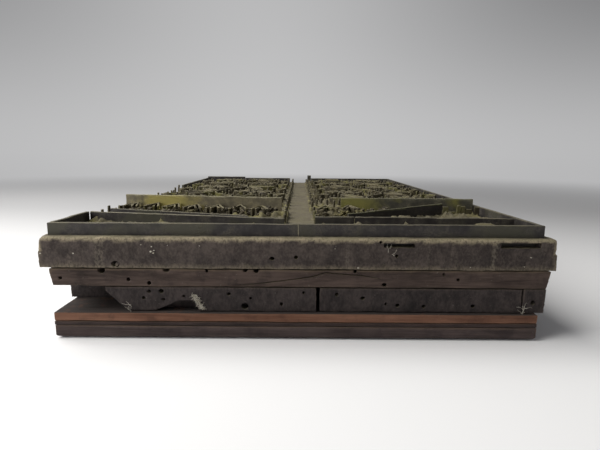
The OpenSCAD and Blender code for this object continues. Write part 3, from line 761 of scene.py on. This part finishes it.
BAR_METAL = metal_finish(
    "bloomed_crossbar", 21, metallic=0.12, rough=0.65, dust=0.5,
    dark=rgb(0.10, 0.086, 0.054), light=rgb(0.225, 0.192, 0.115), edge=rgb(0.28, 0.26, 0.16),
    bloom=rgb(0.42, 0.355, 0.095), crust=rgb(0.22, 0.185, 0.10),
    patch=((-0.096, -0.1055, top_z + 5 * MM), 21 * MM),
)
DARK_BAR_METAL = metal_finish(
    "dark_crossbar", 22, metallic=0.2, rough=0.6, dust=0.5,
    dark=rgb(0.055, 0.052, 0.04), light=rgb(0.12, 0.112, 0.08), edge=rgb(0.22, 0.21, 0.14),
    bloom=rgb(0.30, 0.28, 0.07), crust=rgb(0.15, 0.132, 0.08),
    patch=((0.040, -0.108, top_z + 7 * MM), 20 * MM),
)
LOOSE_METAL = metal_finish(
    "dark_loose_strip", 23, metallic=0.2, rough=0.6, dust=0.4,
    dark=rgb(0.014, 0.012, 0.012), light=rgb(0.036, 0.031, 0.028), edge=rgb(0.22, 0.22, 0.11),
    bloom=rgb(0.04, 0.036, 0.026), crust=rgb(0.06, 0.052, 0.036),
)
worn_metal("left_crossbar", BAR_METAL, bend=0.8 * MM, nick=0.5 * MM, seed=101)
worn_metal("right_crossbar", DARK_BAR_METAL, bend=0.6 * MM, nick=0.4 * MM, seed=102)
worn_metal("loose_strip", LOOSE_METAL, bend=0.6 * MM, nick=0.4 * MM, seed=103)

# The pattern
# Brass strips bent to vines, leaves, petals and scrolls, hammered into grooves, with pins for dots.
# They stand a little crooked, and dried paste sits on them.

STRIP_METAL = metal_finish(
    "khaki_strip", 31, metallic=0.2, rough=0.62, dust=0.45,
    dark=rgb(0.036, 0.029, 0.017), light=rgb(0.11, 0.092, 0.048), edge=rgb(0.22, 0.19, 0.105),
    bloom=rgb(0.17, 0.16, 0.045), crust=rgb(0.165, 0.142, 0.075),
)
PIN_METAL = metal_finish(
    "dull_pin", 41, metallic=0.25, rough=0.58, dust=0.4,
    dark=rgb(0.042, 0.034, 0.02), light=rgb(0.105, 0.088, 0.05), edge=rgb(0.22, 0.19, 0.115),
    bloom=rgb(0.13, 0.12, 0.045), crust=rgb(0.15, 0.13, 0.075),
)
SIDES = ("left", "right")
PATTERN_STRIPS = ["vine", "leaves", "leaf_veins", "rosette_petals", "rosette_rings", "scrolls"]
for i, kind in enumerate(PATTERN_STRIPS):
    for j, side in enumerate(SIDES):
        worn_metal(
            f"{side}_{kind}", STRIP_METAL,
            bend=1.1 * MM, nick=1.5 * MM, seed=110 + 10 * i + j, pitch=5 * MM,
        )
for j, side in enumerate(SIDES):
    worn_metal(f"{side}_chevrons", STRIP_METAL, bend=2.2 * MM, nick=3.2 * MM, seed=180 + j)
worn_metal("right_front_posts", PIN_METAL, bend=0.7 * MM, nick=0.4 * MM, seed=190)


def solids_in(node):
    """The separate solids of a node: the middle, radius, foot and top of each."""
    bm = packed_mesh(node)
    seen, found = set(), []
    for first in bm.verts:
        if first in seen:
            continue
        island, heap = [], [first]
        seen.add(first)
        while heap:
            v = heap.pop()
            island.append(v.co.copy())
            for e in v.link_edges:
                other = e.other_vert(v)
                if other not in seen:
                    seen.add(other)
                    heap.append(other)
        lo = [min(p[k] for p in island) for k in range(3)]
        hi = [max(p[k] for p in island) for k in range(3)]
        found.append(((lo[X] + hi[X]) / 2, (lo[Y] + hi[Y]) / 2, (hi[X] - lo[X]) / 2, lo[Z], hi[Z]))
    bm.free()
    return found


def worn_pins(node, seed, crooked=0.5 * MM, sides=10):
    """Round pins drawn again with hammered, rounded heads, each leaning its own way."""
    head_band = 0.3 * MM
    draw = random.Random(seed)
    points, faces, worn = [], [], []
    for x, y, r, z0, z1 in solids_in(node):
        a, lean = draw.uniform(0, 2 * math.pi), draw.uniform(0.2, 1) * crooked
        tall = z1 - draw.uniform(0, 0.5) * MM
        strip_feet.append(Vector((x, y, top_z)))
        profile = [
            (r, z0), (r, top_z), (r * 0.97, (top_z + tall) / 2), (r * 0.95, tall - 0.5 * MM),
            (r * 0.82, tall - 0.15 * MM), (r * 0.45, tall),
        ]
        faces += tube_faces(len(profile), sides, len(points))
        for radius, z in profile:
            share = max(0.0, (z - top_z) / RULE_RISE)
            cx, cy = x + lean * share * math.cos(a), y + lean * share * math.sin(a)
            for i in range(sides):
                t = 2 * math.pi * i / sides
                points.append((cx + radius * math.cos(t), cy + radius * math.sin(t), z))
                worn.append(draw.uniform(0.3, 0.9) if z > tall - head_band else 0.0)
    pins = new_piece("old_" + node, points, faces)
    put_values(pins, "worn", worn)
    hand_over(pins, PIN_METAL, [node], sharp=35)


worn_pins("side_groove_pins", 200, crooked=1.2 * MM)
for j, side in enumerate(SIDES):
    worn_pins(f"{side}_channel_pins", 201 + j)
    worn_pins(f"{side}_rosette_bosses", 203 + j, crooked=0.3 * MM, sides=14)
    worn_pins(f"{side}_rosette_dots", 205 + j)
    worn_pins(f"{side}_background_dots", 207 + j, crooked=0.7 * MM)

# The dried paste
# Printing paste and dust have caked on the wood round the feet of the strips, thickest where they stand
# close, and have broken into small heaps before the crossbars. It is crumbly and khaki, green in patches.

PASTE_GRID = 1.3 * MM
PASTE = metal_finish(
    "dried_paste", 51, metallic=0.0, rough=0.92, dust=0.35,
    dark=rgb(0.045, 0.037, 0.022), light=rgb(0.125, 0.107, 0.06), edge=rgb(0.2, 0.18, 0.11),
    bloom=rgb(0.19, 0.168, 0.045), crust=rgb(0.15, 0.13, 0.075),
)
RUBBLE = metal_finish(
    "dark_crumbs", 61, metallic=0.0, rough=0.92, dust=0.3,
    dark=rgb(0.026, 0.02, 0.015), light=rgb(0.085, 0.068, 0.042), edge=rgb(0.16, 0.14, 0.09),
    bloom=rgb(0.15, 0.13, 0.04), crust=rgb(0.11, 0.094, 0.056),
)
tree_of_feet = kdtree.KDTree(len(strip_feet))
for i, foot in enumerate(strip_feet):
    tree_of_feet.insert((foot.x, foot.y, 0), i)
tree_of_feet.balance()


def paste_height(x, y, seed, clumps_to):
    """How high the paste lies: a fillet round the nearest foot, or a clump, higher at the front."""
    highest, fillet_high, clump_high = 4.6 * MM, 2.3 * MM, 6.5 * MM
    away = tree_of_feet.find((x, y, 0))[2]
    clump = noise.fractal(Vector((x, y, seed)) * 70, 1, 2, 4)
    crumb = noise.fractal(Vector((x, y, seed)) * 420, 1, 2, 3)
    fillet = max(0.0, fillet_high - 0.55 * away) * (0.75 + 0.7 * clump + 0.5 * crumb)
    heap = max(0.0, clump - 0.18) * clump_high * (1 + 0.6 * crumb)
    return min(highest, max(fillet, heap * (1.5 if y < clumps_to else 1.0)))


def caked_paste(name, x0, x1, y0, y1, seed, clumps_to):
    """A crumbly layer over one panel, bedded just under the wood's surface, and absent where it is thin."""
    step, thin, bed, rim = PASTE_GRID, 0.25 * MM, 0.9 * MM, 0.5 * MM
    nx, ny = int((x1 - x0) / step), int((y1 - y0) / step)
    height = np.zeros((nx + 1, ny + 1))
    for i in range(nx + 1):
        for j in range(ny + 1):
            height[i, j] = paste_height(x0 + i * step, y0 + j * step, seed, clumps_to)
    keep = height > thin
    cells = keep[:-1, :-1] | keep[1:, :-1] | keep[1:, 1:] | keep[:-1, 1:]
    number = np.arange((nx + 1) * (ny + 1)).reshape(nx + 1, ny + 1)
    quads = np.stack([number[:-1, :-1], number[1:, :-1], number[1:, 1:], number[:-1, 1:]], -1)[cells]
    used = np.unique(quads)
    index = -np.ones(number.size, int)
    index[used] = np.arange(len(used))
    i, j = np.divmod(used, ny + 1)
    z = top_z - rim + np.where(height[i, j] > thin, height[i, j] + 0.3 * MM, 0)
    jitter = [noise.noise_vector(Vector((a * 1.7, b * 1.3, seed))) for a, b in zip(i, j)]
    jitter = np.array(jitter) * 0.3 * step
    upper = np.stack([x0 + i * step + jitter[:, 0], y0 + j * step + jitter[:, 1], z], 1)
    lower = upper.copy()
    lower[:, Z] = top_z - bed
    n = len(used)
    quads = index[quads]
    edges = {}
    for quad in quads:
        for a, b in zip(quad, np.roll(quad, -1)):
            edges[(a, b)] = True
    walls = [(b, a, a + n, b + n) for a, b in edges if (b, a) not in edges]
    faces = [tuple(q) for q in quads] + [tuple(q[::-1] + n) for q in quads] + walls
    paste = new_piece(name, np.concatenate([upper, lower]), faces)
    put_values(paste, "worn", np.zeros(2 * n))
    hand_over(paste, PASTE)


left_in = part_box("left_rule_front")[1].x
right_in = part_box("right_rule_front")[0].x
channel_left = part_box("left_channel_pins")[1].x + 1.5 * MM
channel_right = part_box("right_channel_pins")[0].x - 1.5 * MM
front_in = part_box("front_rule_left")[1].y
back_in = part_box("back_rule_left")[0].y
bar_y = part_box("left_crossbar")[0].y
caked_paste("left_paste", left_in, channel_left, front_in, back_in, 3.0, bar_y)
caked_paste("right_paste", channel_right, right_in, front_in, back_in, 8.0, bar_y)


def rubble(name, x0, x1, y0, y1, count, seed):
    """Small heaps of broken paste and splinters, stuck down among the strips of one bay."""
    draw = random.Random(seed)
    bm = bmesh.new()
    for _ in range(count):
        x, y = draw.uniform(x0, x1), draw.uniform(y0, y1)
        z = top_z - 0.3 * MM
        for _ in range(draw.randint(1, 6)):
            size = draw.uniform(0.7, 1.35) * MM
            z += size * 0.8
            at = (x + draw.uniform(-0.5, 0.5) * size, y + draw.uniform(-0.5, 0.5) * size, z)
            turn = Matrix.Rotation(draw.uniform(0, math.pi), 4, "Z")
            shape = Matrix.Diagonal((size * 1.6, size, size * 0.8, 1))
            matrix = Matrix.Translation(at) @ turn @ shape
            made = bmesh.ops.create_icosphere(bm, subdivisions=2, radius=1, matrix=matrix)
            for v in made["verts"]:
                v.co += noise.noise_vector(v.co * 800) * size * 0.6
    hand_over(piece_from(name, bm), RUBBLE, sharp=40)


left_bay, right_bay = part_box("left_chevrons"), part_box("right_chevrons")
rubble(
    "left_bay_crumbs", left_bay[0].x + 12 * MM, left_bay[1].x + 8 * MM,
    left_bay[0].y - 3 * MM, bar_y - 1.5 * MM, count=150, seed=321,
)
rubble(
    "right_bay_crumbs", right_bay[0].x - 2 * MM, right_bay[1].x + 30 * MM,
    right_bay[0].y - 3 * MM, bar_y - 1.5 * MM, count=90, seed=322,
)

# Lint and specks
# Tufts of cotton lint from the printed cloth have caught on the splintered front of the block.
# Crumbs of white paste are stuck beside them.

LINT, lint_tree, lint_shader = new_material("cotton_lint")
lint_links = {"Vector": object_place(lint_tree), "Scale": 900, "Detail": 4}
lint_cloud = add(lint_tree, "ShaderNodeTexNoise", lint_links)
lint_share = spread(lint_tree, lint_cloud.outputs[0], 0.35, 0.65)
lint_colour = blended(lint_tree, lint_share, rgb(0.372, 0.3364, 0.26), rgb(0.62, 0.58, 0.5))
lint_tree.links.new(lint_colour, lint_shader.inputs["Base Color"])
lint_shader.inputs["Roughness"].default_value = 0.95
front_y = face_lo.y + 0.4 * MM


def tuft(name, x, z, wide, tall, count, seed, slant=0.0, curl=1.0):
    """A tuft of fine curled fibres on the front of the block; slant leans it and curl scales its fibres."""
    thick, proud, sunk, joints = 0.09 * MM, 1.6 * MM, 0.1 * MM, 9
    draw = random.Random(seed)
    curve = bpy.data.curves.new(name, "CURVE")
    curve.dimensions = "3D"
    curve.bevel_depth = thick
    curve.bevel_resolution = 1
    for _ in range(count):
        a, share = draw.uniform(0, math.pi), draw.uniform(-0.5, 0.5)
        up = draw.uniform(-0.5, 0.5)
        y = front_y - draw.uniform(0.1, 0.9) * MM
        at = Vector((x + share * wide * 0.6 - slant * up * tall, y, z + up * tall))
        way = Vector((math.cos(a), -0.1, math.sin(a)))
        line = curve.splines.new("POLY")
        line.points.add(joints)
        for k in range(joints + 1):
            line.points[k].co = (*at, 1)
            line.points[k].radius = 1 - 0.06 * k
            turn = [draw.uniform(-0.5, 0.5), draw.uniform(-0.25, 0.25), draw.uniform(-0.5, 0.5)]
            way = (way + Vector(turn)).normalized()
            at = at + way * draw.uniform(0.3, 0.7) * curl * MM
            at.y = min(max(at.y, front_y - proud), front_y + sunk)
    hand_over(linked(name, curve), LINT)


tuft("lint_tuft", -52.8 * MM, core_z0 + 5.2 * MM, 4.2 * MM, 8.0 * MM, 150, 301, slant=0.55, curl=0.42)
tuft("lint_wisp", -88 * MM, core_z0 + 1.5 * MM, 1.5 * MM, 5 * MM, 5, 302)
tuft("lint_by_slot", 47 * MM, top_z - 7 * MM, 5 * MM, 4 * MM, 4, 303)
tuft("lint_by_joint", 120 * MM, core_z0 + 1.5 * MM, 4 * MM, 4 * MM, 9, 304)


def crumbs(name, places, seed):
    """Crumbs of white paste, each (x, z, radius), stuck to the front of the block."""
    draw = random.Random(seed)
    bm = bmesh.new()
    for x, z, size in places:
        shape = Matrix.Diagonal((size, size * 0.5, size * 0.7, 1))
        matrix = Matrix.Translation((x, front_y - 0.1 * MM, z)) @ shape
        made = bmesh.ops.create_icosphere(bm, subdivisions=2, radius=1, matrix=matrix)
        for v in made["verts"]:
            v.co += noise.noise_vector(v.co * 2500) * size * 0.45 * draw.uniform(0.7, 1.2)
    hand_over(piece_from(name, bm), LINT)


# Crumbs seen at the front in mm: right of centre, above the face board's top and radius
CRUMBS = [
    (-133.5, -9.2, 0.45), (-116.5, -9.0, 0.5), (-76.2, -7.8, 0.7), (-75.0, -8.6, 0.6), (-74.6, -7.2, 0.4),
    (-75.8, -5.2, 0.35), (-67.6, -4.4, 0.35), (-81.2, -4.3, 0.35), (31.3, -15.8, 0.5), (49.6, -8.9, 0.4),
    (89.8, -15.0, 0.45), (121.0, -9.6, 0.5), (118.0, -14.6, 0.35), (-51.0, -4.6, 0.35), (19.0, -5.6, 0.3),
]
crumbs("paste_crumbs", [(x * MM, top_z + up * MM, size * MM) for x, up, size in CRUMBS], 311)

# The studio
# The block stands on a pale floor whose colour is painted darker towards the back as painted shade, under one
# soft lamp above and to the left.
# The camera stands low in front, and looks a little down along the channel.


def shaded_backdrop_group():
    """The grey of the backdrop by direction, with painted shade: lightest low down in the middle, darker up
    and to the sides.
    """
    tree, given, out = socket_group("backdrop", [("Way", "v", (0, 1, 0))], [("Color", "c")])
    apart = add(tree, "ShaderNodeSeparateXYZ", {0: given.outputs["Way"]})
    up = spread(tree, apart.outputs["Z"], 0.0, 0.40)
    off_centre = maths(tree, "ABSOLUTE", maths(tree, "ADD", apart.outputs["X"], 0.09))
    side_shade = spread(tree, off_centre, 0.0, 0.85)
    # Painted shade: the grey turns darker higher up, and towards near-black at the sides
    edge = times(tree, side_shade, maths(tree, "MULTIPLY_ADD", up, 0.8, 0.22), clamp=True)
    shaded_wall = blended(tree, up, rgb(0.56, 0.56, 0.565), rgb(0.475, 0.475, 0.48))
    tree.links.new(blended(tree, edge, shaded_wall, rgb(0.13, 0.13, 0.135)), out.inputs["Color"])
    return tree


SHADED_BACKDROP = shaded_backdrop_group()
FLOOR_RADIUS = 12
FLOOR_DROP = 0.0003
floor_material, tree, paper = new_material("pale_floor")
place = object_place(tree)
# Painted shade: the floor's colour darkens towards the back, and far off it fades into the backdrop's glowing,
# painted grey
shade_to_back = spread(tree, add(tree, "ShaderNodeSeparateXYZ", {0: place}).outputs["Y"], -0.19, 0.34)
tree.links.new(blended(tree, shade_to_back, rgb(0.93, 0.93, 0.93), rgb(0.52, 0.52, 0.525)), paper.inputs["Base Color"])
paper.inputs["Roughness"].default_value = 0.9
paper.inputs["Specular IOR Level"].default_value = 0.1
away = add(tree, "ShaderNodeVectorMath", {0: place}, operation="NORMALIZE").outputs[0]
distance = add(tree, "ShaderNodeVectorMath", {0: place}, operation="LENGTH").outputs["Value"]
shaded_grey = add(tree, "ShaderNodeGroup", {"Way": away}, node_tree=SHADED_BACKDROP)
far = add(tree, "ShaderNodeEmission", {"Color": shaded_grey.outputs[0], "Strength": 1.0})
share = spread(tree, distance, 0.45, 1.6)
mixed = add(tree, "ShaderNodeMixShader", {0: share, 1: paper.outputs[0], 2: far.outputs[0]})
tree.links.new(mixed.outputs[0], tree.nodes["Material Output"].inputs["Surface"])
bpy.ops.mesh.primitive_circle_add(
    vertices=96, radius=FLOOR_RADIUS, fill_type="NGON", location=(0, 0, -FLOOR_DROP),
)
floor = bpy.context.object
floor.name = "floor"
floor.data.materials.append(floor_material)

# The lens and shiny metal see the backdrop; the block is lit by an even grey instead
world = bpy.data.worlds.new("studio")
bpy.context.scene.world = world
world.use_nodes = True
tree = world.node_tree
sky = tree.nodes["Background"]
way = add(tree, "ShaderNodeTexCoord").outputs["Generated"]
# The backdrop grey that camera and glossy rays see carries painted shade, darker up and at the sides
shaded_wall = add(tree, "ShaderNodeGroup", {"Way": way}, node_tree=SHADED_BACKDROP).outputs[0]
path = add(tree, "ShaderNodeLightPath")
mirrored = maths(tree, "MAXIMUM", path.outputs["Is Glossy Ray"], path.outputs["Is Transmission Ray"])
seen = maths(tree, "MAXIMUM", path.outputs["Is Camera Ray"], mirrored)
tree.links.new(blended(tree, seen, rgb(0.16, 0.16, 0.165), shaded_wall), sky.inputs["Color"])
sky.inputs["Strength"].default_value = 1.0


def soft_lamp(name, at, size, watts, colour):
    """A square lamp turned towards the middle of the block."""
    lamp = bpy.data.lights.new(name, "AREA")
    lamp.shape = "SQUARE"
    lamp.size = size
    lamp.energy = watts
    lamp.color = colour
    holder = linked(name, lamp)
    holder.location = at
    holder.rotation_euler = (Vector((0, 0, 0)) - Vector(at)).to_track_quat("-Z", "Y").to_euler()


soft_lamp("overhead_lamp", (-0.64, -0.06, 0.85), size=1.0, watts=14.8, colour=(1.0, 0.985, 0.96))
soft_lamp("front_fill", (-0.50, -0.46, 0.27), size=0.3, watts=0.95, colour=(1.0, 1.0, 1.0))

camera = linked("camera", bpy.data.cameras.new("camera"))
bpy.context.scene.camera = camera
camera.data.sensor_width = 36
camera.data.lens = 24.9
camera.data.clip_start = 0.01
camera.data.clip_end = 60
eye = (0.0002, -0.4089, 0.0979)
pitch, yaw, roll = 0.17359, 0.00302, -0.00795
forward = Vector((math.sin(yaw) * math.cos(pitch), math.cos(yaw) * math.cos(pitch), -math.sin(pitch)))
level = Vector((math.cos(yaw), -math.sin(yaw), 0))
down = forward.cross(level)
right = math.cos(roll) * level + math.sin(roll) * down
upward = -(math.cos(roll) * down - math.sin(roll) * level)
axes = Matrix((right, upward, -forward)).transposed().to_4x4()
camera.matrix_world = Matrix.Translation(eye) @ axes

bpy.context.scene.view_settings.view_transform = "Standard"
